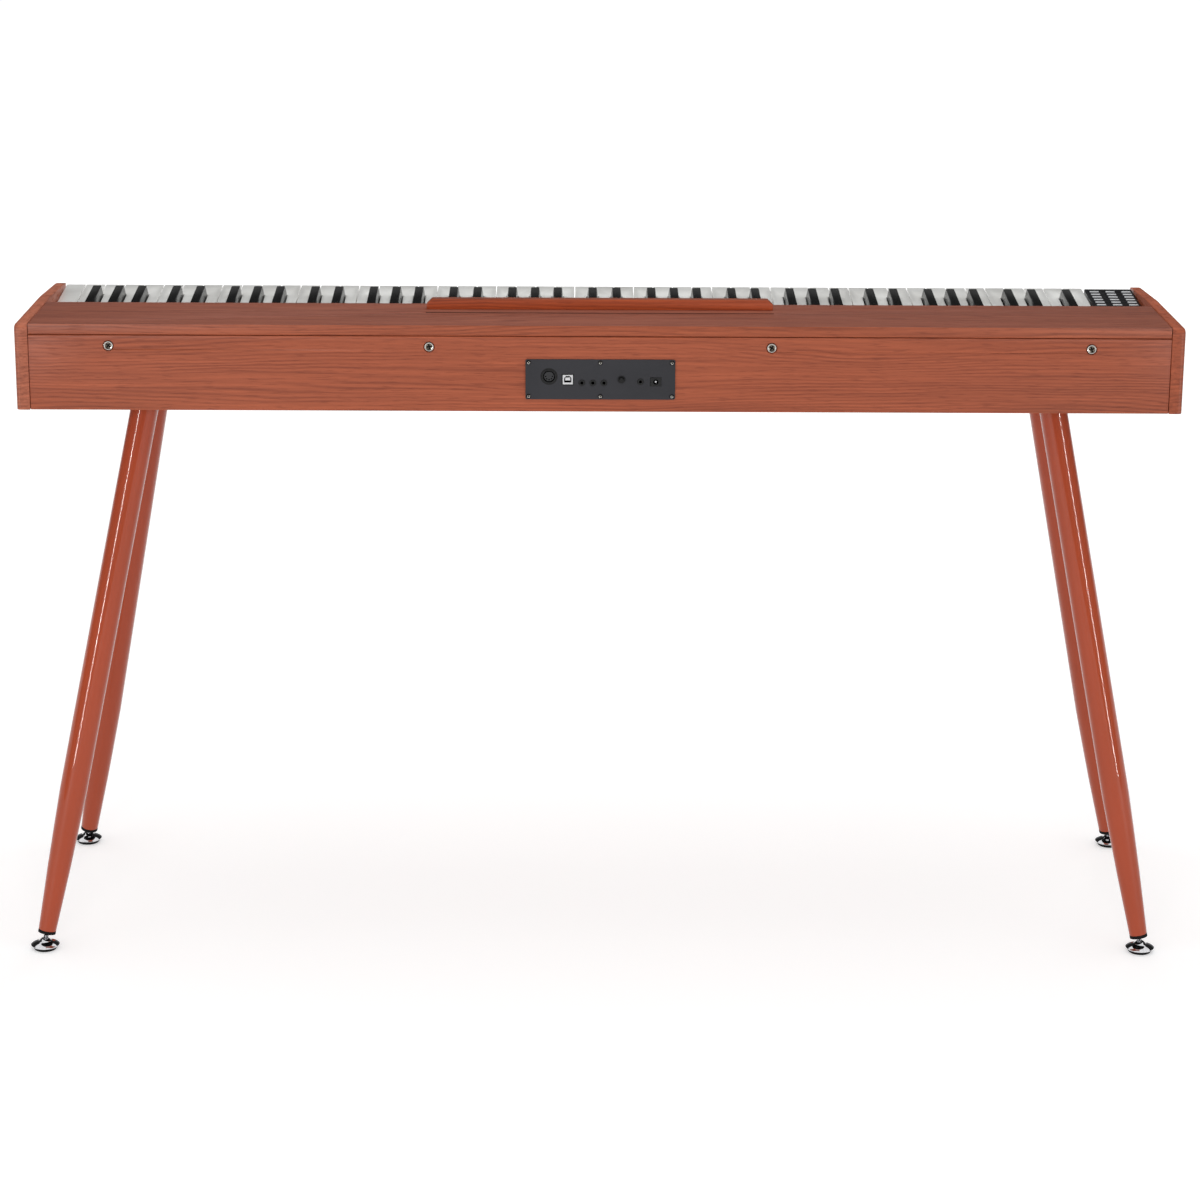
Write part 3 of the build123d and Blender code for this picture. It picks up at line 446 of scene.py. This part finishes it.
def buttonFinish(name, top, side, roughness):
    # a button is light on top, and its sides are painted dark: lit and shaded copies of the button plastic,
    # painted shade on the sides
    finish, tree, shader = newFinish(name, roughness=roughness, specular=0.4)
    grit = noise(tree, scaled(tree, place(tree), (1200, 1200, 1200)), detail=2.0)
    # upward faces take the top tone and the rest the dark side tone: painted shade on the sides
    colour = mixColour(tree, fade(tree, normalAlong(tree, "Z"), 0.25, 0.75), shade(*side), shade(*top))
    colour = mixColour(tree, reckon(tree, "MULTIPLY", grit, 0.10), colour, shade(120, 120, 124))
    tree.links.new(colour, shader.inputs["Base Color"])
    bump(tree, shader, grit, 0.00004, 0.2)
    return finish


legPaint = paintFinish("leg_paint", **legPaintFacts)
whiteKey = plasticFinish("white_key_plastic", (244, 243, 239), 0.24, coat=0.2)
blackKey = plasticFinish("black_key_plastic", (18, 18, 18), 0.22, grains=1400.0, specular=0.4)
platePlastic = plateFinish(plateFacts)
podPlastic = plasticFinish("pod_plastic", (14, 14, 17), 0.36, grains=1200.0, grainDepth=0.3, specular=0.35)
darkPlastic = plasticFinish("dark_plastic", (12, 12, 13), 0.42, specular=0.3)
# side: painted shade on the button sides
greyButton = buttonFinish("grey_button", top=(196, 198, 200), side=(58, 58, 62), roughness=0.5)
nickel = metalFinish("nickel", (200, 196, 190), 0.25)
# a bright nickel used only as a painted glint ring on the black terminal screws
glintNickel = metalFinish("bright_nickel", (226, 222, 214), 0.3)
# a darker nickel for the back bolts' crowns: a painted dark reflection
darkReflectionNickel = metalFinish("dull_nickel", (112, 104, 94), 0.42)
# black that is the terminal screws' own colour, and painted shade in every screw's cross recess
blackAndRecessShade = plasticFinish("recess_black", (14, 12, 11), 0.6, specular=0.1)
chrome = metalFinish("chrome", (226, 226, 229), 0.05, depth=0.05)
steel = metalFinish("steel", (150, 150, 152), 0.4)
blackSteel = plasticFinish("black_steel", (24, 24, 25), 0.45)
rubber = plasticFinish("rubber", (17, 17, 17), 0.75, grainDepth=0.4, specular=0.15)
felt = plasticFinish("felt", (130, 30, 34), 0.95, grains=1800.0, grainDepth=1.0)
circuit = plasticFinish("circuit_green", (32, 92, 52), 0.35)
blockWood = woodFinish("block_wood", (196, 158, 112), 0, (6.1, 3.9, 7.7))
print("finishes made")

finishOf = {
    "lid_blocks": blockWood,
    "back_bolts": nickel,
    "terminal_plate": platePlastic,
    "terminal_screws": darkPlastic,
    "jack_board": circuit,
    "power_switch": darkPlastic,
    "power_button": darkPlastic,
    "main_board": circuit,
    "keybed_chassis": darkPlastic,
    "key_pivot_rod": nickel,
    "key_spring_comb": steel,
    "key_felts": felt,
    "contact_board": circuit,
    "contact_rubber": rubber,
    "control_pod": podPlastic,
    "button_board": circuit,
    "buttons_left": greyButton,
    "buttons_middle": greyButton,
    "buttons_right": greyButton,
    "speakers": blackSteel,
    "speaker_grilles": darkPlastic,
    "leg_plates": blackSteel,
    "leg_plate_screws": nickel,
    "leg_tip_plugs": rubber,
    "key_middle_c": whiteKey,
}
# pit: the depth of each socket, painted dark as shade in the opening
sockets = {
    "midi_socket": {"rim": (14, 14, 15), "island": (46, 46, 48), "pit": (8, 8, 8)},
    "usb_socket": {"rim": (226, 226, 228), "island": (238, 238, 240), "pit": (26, 26, 28)},
    "audio_jacks": {"rim": (14, 14, 15), "island": (40, 40, 42), "pit": (6, 6, 6)},
    "dc_socket": {"rim": (12, 12, 13), "island": (222, 222, 224), "pit": (7, 7, 7)},
}
for name, facts in sockets.items():
    finishOf[name] = socketFinish(name, **facts)
for name, facts in boards.items():
    finishOf[name] = woodFinish("veneer_" + name, **facts)
for name in nodes:
    if name.startswith("leg_rear") or name.startswith("leg_front"):
        finishOf[name] = legPaint
    elif name.startswith("levelling_foot"):
        finishOf[name] = chrome
    elif name.startswith("foot_pad"):
        finishOf[name] = rubber
    elif name.startswith("keys_"):
        finishOf[name] = blackKey if name.endswith("_sharp") else whiteKey
for name, node in nodes.items():
    node.data.materials.clear()
    node.data.materials.append(finishOf[name])


def smoothMesh(mesh, sharpFrom):
    for face in mesh.polygons:
        face.use_smooth = True
    mesh.set_sharp_from_angle(angle=math.radians(sharpFrom))


def standIn(name, ending, work, sharpFrom, finishes):
    # the piece that shows in place of a node, riding with the node's body
    mesh = bpy.data.meshes.new(name + ending)
    work.to_mesh(mesh)
    work.free()
    smoothMesh(mesh, sharpFrom)
    for finish in finishes:
        mesh.materials.append(finish)
    piece = bpy.data.objects.new(name + ending, mesh)
    bpy.context.scene.collection.objects.link(piece)
    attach(piece, bodyOf[name])
    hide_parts(name)


def softEdges(name, width, steps=2, sharpest=25.0, shortest=0.0):
    # a copy of a board or key whose edges are eased as the real one's are
    work = bmesh.new()
    work.from_mesh(nodes[name].data)
    bmesh.ops.remove_doubles(work, verts=work.verts, dist=1e-6)
    bmesh.ops.dissolve_limit(work, angle_limit=math.radians(0.5), verts=work.verts, edges=work.edges)
    edges = []
    for edge in work.edges:
        if len(edge.link_faces) == 2 and edge.calc_length() > shortest:
            if edge.calc_face_angle(0) > math.radians(sharpest):
                edges.append(edge)
    bmesh.ops.bevel(work, geom=edges, offset=width, segments=steps, profile=0.5,
                    affect="EDGES", clamp_overlap=True)
    standIn(name, "_eased", work, 35, [finishOf[name]])


eased = {
    "white": {"width": 0.0005},
    "black": {"width": 0.0011, "steps": 3},
    "board": {"width": 0.0007, "shortest": 0.006},
    "button": {"width": 0.0004},
    "plate": {"width": 0.0003, "shortest": 0.003},
    "pod": {"width": 0.0008, "shortest": 0.006},
}
for name in sorted(nodes):
    if finishOf[name] is whiteKey:
        softEdges(name, **eased["white"])
    elif finishOf[name] is blackKey:
        softEdges(name, **eased["black"])
    elif name in boards:
        softEdges(name, **eased["board"])
    elif finishOf[name] is greyButton:
        softEdges(name, **eased["button"])
softEdges("terminal_plate", **eased["plate"])
softEdges("control_pod", **eased["pod"])
print("edges eased")


# screw heads, sizes in metres; rings and spokes say how finely a head is divided
# the finishes are those of the ring, the crown inside it, the cross recess and the rim outside it; the cross
# recess finish is painted shade, and some rings and crowns carry a painted highlight or a painted dark
# reflection
# brightFrom and rimFrom are the shares of the radius where the ring and the rim begin
heads = {
    "back_bolts": {
        "out": (0, 1, 0), "thickness": 0.0026, "shank": 0.0025, "rim": 0.0005, "dome": 0.0,
        "dish": 0.0007, "dishFrom": 0.80, "slotLength": 0.0060, "slotWidth": 0.0014, "slotDepth": 0.0012,
        "rings": 18, "spokes": 48,
        # the bolt's darker nickel crown is a painted dark reflection, and its black cross recess is painted
        # shade
        "finishes": (nickel, darkReflectionNickel, blackAndRecessShade, nickel), "brightFrom": 0.76, "rimFrom": 1.0,
    },
    "terminal_screws": {
        "out": (0, 1, 0), "thickness": 0.0016, "shank": 0.0013, "rim": 0.0005, "dome": 0.0005,
        "dish": 0.0, "dishFrom": 0.5, "slotLength": 0.0026, "slotWidth": 0.0007, "slotDepth": 0.0008,
        "rings": 16, "spokes": 40,
        # the bright ring on the black screw is a painted glint, and the black cross recess is painted shade
        "finishes": (glintNickel, blackAndRecessShade, blackAndRecessShade, blackAndRecessShade), "brightFrom": 0.34, "rimFrom": 0.66,
    },
    "leg_plate_screws": {
        "out": (0, 0, -1), "thickness": 0.0022, "shank": 0.0020, "rim": 0.0006, "dome": 0.0006,
        "dish": 0.0, "dishFrom": 0.5, "slotLength": 0.0044, "slotWidth": 0.0011, "slotDepth": 0.0012,
        "rings": 12, "spokes": 32,
        "finishes": (nickel, nickel, blackAndRecessShade, nickel), "brightFrom": 0.5, "rimFrom": 1.0,
    },
}


def headDepth(facts, radius, reach, side, rise):
    # how far the head's face lies below its highest point
    depth = facts["dome"] * (reach / radius) ** 2
    inner = facts["dishFrom"] * radius
    depth += facts["dish"] * min(max((inner - reach) / (0.35 * radius), 0), 1)
    edge = (reach - (radius - facts["rim"])) / facts["rim"]
    if edge > 0:
        depth += facts["rim"] * (1 - math.sqrt(max(1 - min(edge, 1) ** 2, 0)))
    half, arm, soft = facts["slotWidth"] / 2, facts["slotLength"] / 2, 0.15 * facts["slotWidth"]
    cut = 0.0
    for lengthways, crossways in ((side, rise), (rise, side)):
        inside = min((arm - abs(lengthways)) / soft, (half - abs(crossways)) / soft)
        cut = max(cut, min(max(inside, 0), 1))
    return depth + facts["slotDepth"] * cut, cut


def makeHeads(name, facts):
    out = Vector(facts["out"])
    across = Vector((1, 0, 0))
    up = out.cross(across)
    outAxis = max(range(3), key=lambda axis: abs(out[axis]))
    work = bmesh.new()
    for count, (low, high) in enumerate(looseParts(name)):
        radius = (high.x - low.x) / 2
        length = high[outAxis] - low[outAxis]
        top = (low + high) / 2 + out * (length / 2)
        turn = math.radians(17 + 41 * count)
        rings = []
        for ring in range(facts["rings"] + 1):
            reach = radius * ring / facts["rings"]
            row = []
            for spoke in range(facts["spokes"] if ring else 1):
                angle = 2 * math.pi * spoke / facts["spokes"]
                side, rise = reach * math.cos(angle - turn), reach * math.sin(angle - turn)
                depth, cut = headDepth(facts, radius, reach, side, rise)
                spot = top + (across * math.cos(angle) + up * math.sin(angle)) * reach - out * depth
                row.append((work.verts.new(spot), cut))
            rings.append(row)
        for reach, depth in ((radius, facts["thickness"]), (facts["shank"], facts["thickness"]),
                             (facts["shank"], length)):
            row = []
            for spoke in range(facts["spokes"]):
                angle = 2 * math.pi * spoke / facts["spokes"]
                spot = top + (across * math.cos(angle) + up * math.sin(angle)) * reach - out * depth
                row.append((work.verts.new(spot), 0))
            rings.append(row)
        for ring in range(1, len(rings)):
            for spoke in range(facts["spokes"]):
                following = (spoke + 1) % facts["spokes"]
                if ring == 1:
                    corners = [rings[0][0], rings[1][spoke], rings[1][following]]
                else:
                    corners = [rings[ring - 1][spoke], rings[ring][spoke], rings[ring][following],
                               rings[ring - 1][following]]
                face = work.faces.new([vert for vert, cut in corners])
                cut = sum(cut for vert, cut in corners) / len(corners)
                share = ring / facts["rings"]
                zone = 3 if share > facts["rimFrom"] else (0 if share > facts["brightFrom"] else 1)
                # faces in the cross recess take material 2, painted shade
                face.material_index = 2 if cut > 0.4 else zone
        work.faces.new([vert for vert, cut in rings[-1]])
    bmesh.ops.recalc_face_normals(work, faces=work.faces)
    standIn(name, "_turned", work, 40, facts["finishes"])


for name, facts in heads.items():
    makeHeads(name, facts)
print("screw heads made")

# legs and feet, in metres: the leg's axis runs from its top to the middle of its swivel foot
standing = {
    "top": (0.519, 0.079, 0.656),
    "splay": (0.127, 0.0908),
    "skew": 0.0045,
    "swivelHeight": 0.0085,
    "sides": 96,
    # distance down the axis, radius
    "leg": ((0.005, 0), (0.005, 0.004), (0.015, 0.004), (0.015, 0.0155), (0.0154, 0.0159), (0.4795, 0.0159),
            (0.5270, 0.0148), (0.575, 0.0135), (0.6200, 0.0117), (0.6521, 0.0104), (0.6525, 0.0100),
            (0.6525, 0.0089), (0.4795, 0.0144), (0.021, 0.0144), (0.021, 0)),
    # height over the floor, radius
    "cap": ((0.0044, 0), (0.0044, 0.0162), (0.0046, 0.0167), (0.0050, 0.0169), (0.0055, 0.0168),
            (0.0060, 0.0162), (0.0068, 0.0148), (0.0077, 0.0128), (0.0085, 0.0104), (0.0091, 0.0084),
            (0.0094, 0.0076), (0.0099, 0.0071), (0.0110, 0.0060), (0.0120, 0.0049), (0.0125, 0.0042),
            (0.0126, 0.0036), (0.0126, 0)),
    "stemLength": 0.046,
    "stemRadius": 0.003,
    "threadPitch": 0.00125,
    "threadDepth": 0.0005,
}


def turnedSkin(work, start, axis, profile, sides):
    # a closed skin of rings round an axis
    across = axis.orthogonal().normalized()
    up = axis.cross(across)
    rings = []
    for along, radius in profile:
        middle = start + axis * along
        if radius:
            turns = [2 * math.pi * side / sides for side in range(sides)]
            rings.append([work.verts.new(middle + (across * math.cos(turn) + up * math.sin(turn)) * radius)
                          for turn in turns])
        else:
            rings.append([work.verts.new(middle)] * sides)
    for first, second in zip(rings, rings[1:]):
        for side in range(sides):
            following = (side + 1) % sides
            corners = (first[side], first[following], second[following], second[side])
            work.faces.new(list(dict.fromkeys(corners)))


def turnedPiece(name, skins):
    work = bmesh.new()
    for start, axis, profile, sides in skins:
        turnedSkin(work, start, axis, profile, sides)
    bmesh.ops.recalc_face_normals(work, faces=work.faces)
    standIn(name, "_turned", work, 32, [finishOf[name]])


def threadProfile(start, end, facts):
    # a rolled thread, as rings that swell and shrink once per pitch
    crest, root = facts["stemRadius"], facts["stemRadius"] - facts["threadDepth"]
    profile = [(start, 0), (start, root)]
    along = start + facts["threadPitch"] / 2
    while along < end - facts["threadPitch"]:
        profile += [(along, crest), (along + facts["threadPitch"] / 2, root)]
        along += facts["threadPitch"]
    return profile + [(end, root), (end, 0)]


def makeStanding(facts):
    for end, sideX in (("treble", 1), ("bass", -1)):
        for row, sideY in (("rear", 1), ("front", -1)):
            corner = row + "_" + end
            top = Vector((sideX * facts["top"][0], sideY * facts["top"][1], facts["top"][2]))
            foot = Vector((sideX * (facts["top"][0] + facts["splay"][0]) + sideY * facts["skew"],
                           sideY * (facts["top"][1] + facts["splay"][1]), facts["swivelHeight"]))
            axis = (foot - top).normalized()
            reach = (foot - top).length
            turnedPiece("leg_" + corner, [(top, axis, facts["leg"], facts["sides"])])
            thread = threadProfile(reach - facts["stemLength"], reach, facts)
            floorSpot = Vector((foot.x, foot.y, 0))
            turnedPiece("levelling_foot_" + corner, [
                (floorSpot, Vector((0, 0, 1)), facts["cap"], facts["sides"]),
                (top, axis, thread, 32),
            ])


makeStanding(standing)
print("legs and feet turned")

# studio: a soft light behind the camera, a strip each side of it, one light above and one on the far side
studio = {
    "broad": {"size": (2.6, 1.0), "at": (0.4, 4.9, 1.9), "power": 56},
    "stripLeft": {"size": (0.20, 1.5), "at": (2.25, 2.75, 0.85), "power": 48, "shine": True},
    "stripRight": {"size": (0.17, 1.5), "at": (-2.45, 2.35, 0.85), "power": 44, "shine": True},
    "above": {"size": (2.6, 1.4), "at": (0.0, 0.0, 2.1), "power": 9},
    "far": {"size": (2.6, 1.2), "at": (-0.4, -4.4, 1.7), "power": 34},
}


def makeLight(name, size, at, power, shine=False, aim=(0, 0, 0.55)):
    data = bpy.data.lights.new(name, "AREA")
    data.shape = "RECTANGLE"
    data.size, data.size_y = size
    data.energy = power
    lamp = bpy.data.objects.new(name, data)
    bpy.context.scene.collection.objects.link(lamp)
    lamp.location = at
    toward = Vector(aim) - Vector(at)
    lamp.rotation_euler = toward.to_track_quat("-Z", "Y").to_euler()
    lamp.visible_glossy = shine   # only the strips show in gloss, and they do nothing else
    lamp.visible_diffuse = not shine


for name, facts in studio.items():
    makeLight(name, **facts)

room = {
    "ambient": 0.62,
    "floorHalf": 14,
    "floorTone": 0.8,
    "floorGlow": 0.4,
    "farGlow": 0.53,     # the floor's glow far from the piano, where the lamps don't reach
    "farFrom": 1.3,
    "farTo": 3.6,
    "wallRadius": 6.0,
    "wallHeight": 5.6,
    "wallLow": 0.14,     # what gloss sees of the wall near the floor
    "wallHigh": 0.02,    # and higher up
    "wallFrom": 1.3,
    "wallTo": 2.3,
}


def seenByEye(tree):
    path = add(tree, "ShaderNodeLightPath")
    seen = reckon(tree, "ADD", path.outputs["Is Camera Ray"], path.outputs["Is Glossy Ray"])
    seen = reckon(tree, "ADD", seen, path.outputs["Is Transmission Ray"])
    return reckon(tree, "MINIMUM", seen, 1.0)


def makeWorld():
    world = bpy.data.worlds.new("studio_world")
    world.use_nodes = True
    tree = world.node_tree
    back = tree.nodes["Background"]
    back.inputs["Color"].default_value = (1, 1, 1, 1)
    strength = reckon(tree, "MULTIPLY_ADD", seenByEye(tree), 1.0 - room["ambient"], room["ambient"])
    tree.links.new(strength, back.inputs["Strength"])
    bpy.context.scene.world = world


def stagePiece(name, work, height):
    mesh = bpy.data.meshes.new(name)
    work.to_mesh(mesh)
    work.free()
    piece = bpy.data.objects.new(name, mesh)
    piece.location.z = height
    bpy.context.scene.collection.objects.link(piece)
    finish = bpy.data.materials.new(name + "_finish")
    finish.use_nodes = True
    finish.node_tree.nodes.clear()
    mesh.materials.append(finish)
    return piece, finish.node_tree, add(finish.node_tree, "ShaderNodeOutputMaterial")


def makeFloor():
    work = bmesh.new()
    bmesh.ops.create_grid(work, x_segments=2, y_segments=2, size=room["floorHalf"])
    floor, tree, out = stagePiece("floor", work, 0)
    diffuse = add(tree, "ShaderNodeBsdfDiffuse")
    diffuse.inputs["Color"].default_value = (room["floorTone"],) * 3 + (1,)
    glow = add(tree, "ShaderNodeEmission")
    distance = add(tree, "ShaderNodeVectorMath", operation="LENGTH")
    tree.links.new(place(tree), distance.inputs[0])
    far = fade(tree, distance.outputs["Value"], room["farFrom"], room["farTo"])
    level = reckon(tree, "MULTIPLY_ADD", far, room["farGlow"] - room["floorGlow"], room["floorGlow"])
    tree.links.new(reckon(tree, "MULTIPLY", seenByEye(tree), level), glow.inputs["Strength"])
    both = add(tree, "ShaderNodeAddShader")
    tree.links.new(diffuse.outputs[0], both.inputs[0])
    tree.links.new(glow.outputs[0], both.inputs[1])
    tree.links.new(both.outputs[0], out.inputs["Surface"])


def makeDarkWall():
    # a round dark wall that only gloss sees, so that lid, sharps and legs don't mirror a white room
    work = bmesh.new()
    bmesh.ops.create_cone(work, cap_ends=False, segments=64, radius1=room["wallRadius"],
                          radius2=room["wallRadius"], depth=room["wallHeight"])
    wall, tree, out = stagePiece("dark_wall", work, room["wallHeight"] / 2)
    wall.visible_camera = False
    wall.visible_diffuse = False
    wall.visible_transmission = False
    wall.visible_volume_scatter = False
    wall.visible_shadow = False
    split = add(tree, "ShaderNodeSeparateXYZ")
    tree.links.new(place(tree), split.inputs[0])
    height = reckon(tree, "ADD", split.outputs["Z"], room["wallHeight"] / 2)
    strength = reckon(tree, "MULTIPLY_ADD", fade(tree, height, room["wallFrom"], room["wallTo"]),
                      room["wallHigh"] - room["wallLow"], room["wallLow"])
    glow = add(tree, "ShaderNodeEmission")
    tree.links.new(strength, glow.inputs["Strength"])
    tree.links.new(glow.outputs[0], out.inputs["Surface"])


makeWorld()
makeFloor()
makeDarkWall()
bpy.context.scene.view_settings.view_transform = "Standard"
print("studio ready")
